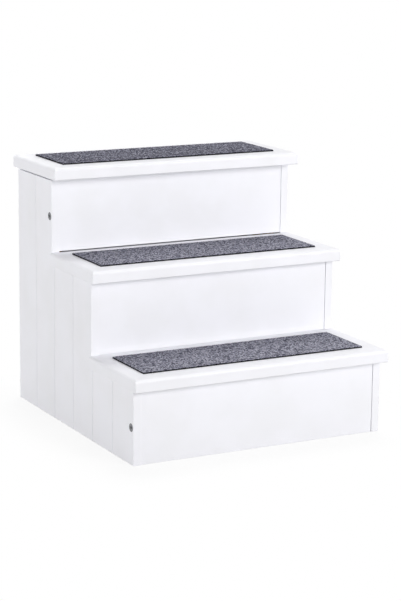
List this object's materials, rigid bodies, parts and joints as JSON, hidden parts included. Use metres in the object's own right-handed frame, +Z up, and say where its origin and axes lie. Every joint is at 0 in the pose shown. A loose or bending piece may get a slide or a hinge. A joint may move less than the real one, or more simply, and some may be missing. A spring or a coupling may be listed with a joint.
{
  "type": "pet stairs",
  "caption": "Pet stairs with carpeted treads, grooved stepped side panels and a hinged top tread over a storage box.",
  "frame": {"origin": "on the floor, under the middle of the stairs' overall width and depth", "axes": "+X to the right seen from the front, +Y from the lowest step towards the back, +Z up from the floor"},
  "size_m": [0.409, 0.424, 0.3805],
  "materials": {
    "painted_board": "satin white lacquer",
    "carpet": "heathered short pile",
    "bare_wood": "planed, unpainted",
    "dowel_wood": "turned, unpainted",
    "bolt_metal": "zinc plated",
    "screw_metal": "zinc plated",
    "hinge_metal": "nickel plated",
    "bumper_rubber": "matte"
  },
  "bodies": {
    "carcass": {"left_side_panel": "painted_board", "right_side_panel": "painted_board", "bottom_riser": "painted_board", "middle_riser": "painted_board", "top_riser": "painted_board", "back_panel": "painted_board", "bottom_tread": "painted_board", "middle_tread": "painted_board", "storage_floor": "painted_board", "bottom_carpet": "carpet", "middle_carpet": "carpet", "bottom_tread_rail": "bare_wood", "middle_tread_rail": "bare_wood", "left_floor_cleat": "bare_wood", "right_floor_cleat": "bare_wood", "panel_dowels": "dowel_wood", "tread_dowels": "dowel_wood", "connector_bolts": "bolt_metal", "barrel_nuts": "bolt_metal", "cam_bolts": "bolt_metal", "cam_locks": "bolt_metal", "tread_screws": "screw_metal", "floor_cleat_screws": "screw_metal", "hinge_frame_screws": "screw_metal", "hinge_frame_leaves": "hinge_metal", "hinge_pins": "hinge_metal", "lid_bumpers": "bumper_rubber"},
    "lid": {"lid": "painted_board", "lid_carpet": "carpet", "hinge_lid_leaves": "hinge_metal", "hinge_lid_screws": "screw_metal"}
  },
  "joints": [
    {"name": "lid_hinge", "type": "hinge", "parent": "carcass", "child": "lid", "pos_m": [0, 0.20465, 0.3585], "axis": [-1, 0, 0], "range_deg": [0, 115]}
  ]
}
